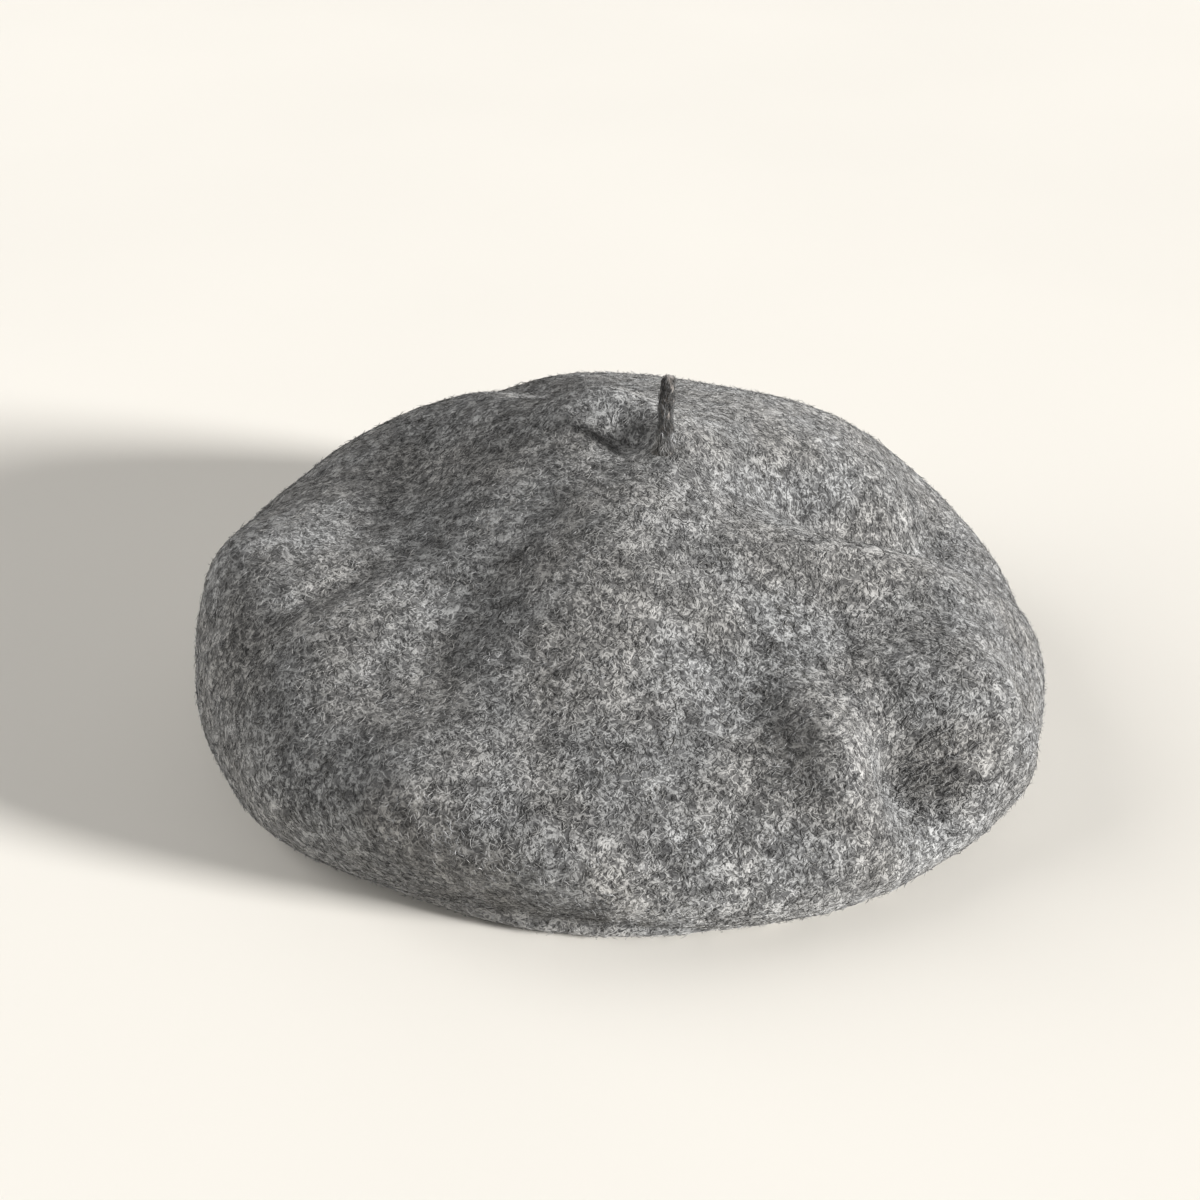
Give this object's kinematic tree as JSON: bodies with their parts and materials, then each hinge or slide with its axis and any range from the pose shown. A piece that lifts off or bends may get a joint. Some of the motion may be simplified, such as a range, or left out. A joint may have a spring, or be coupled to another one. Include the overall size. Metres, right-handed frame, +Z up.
{
  "type": "wool beret",
  "caption": "Soft round felted wool beret with a short stem on its crown and a ribbon sweatband, lying on its head opening.",
  "frame": {"origin": "on the table, under the middle of the beret's outline", "axes": "+Z up out of the crown, +Y towards the back of the beret where the sweatband is joined, +X to the wearer's left with the beret seen from its front"},
  "size_m": [0.2802, 0.2612, 0.1254],
  "materials": {
    "grey_marl_felt": "brushed felted wool, light and dark grey fibres mixed",
    "stem_felt": "hard-rolled felted wool cord, dark grey marl",
    "grey_yarn": "darned wool yarn",
    "black_grosgrain": "ribbed grosgrain ribbon with a soft sheen",
    "sewing_thread": "twisted polyester sewing thread",
    "woven_label": "blank satin-woven label"
  },
  "bodies": {
    "beret": {"felt_shell": "grey_marl_felt", "stem_tack": "grey_yarn", "sweatband": "black_grosgrain", "sweatband_stitching": "sewing_thread", "sweatband_join_stitching": "sewing_thread"},
    "stem": {"stem": "stem_felt"},
    "label": {"care_label": "woven_label", "care_label_stitching": "sewing_thread"}
  },
  "joints": [
    {"name": "stem_tilt", "type": "hinge", "parent": "beret", "child": "stem", "pos_m": [0.01375, 0.00016, 0.10075], "axis": [0, 1, 0], "range_deg": [-50, 50], "stiffness_Nm_per_rad": 0.004},
    {"name": "label_flap", "type": "hinge", "parent": "beret", "child": "label", "pos_m": [0.03163, 0.07075, 0.024], "axis": [-0.9272, 0.3746, 0], "range_deg": [0, 110]}
  ]
}
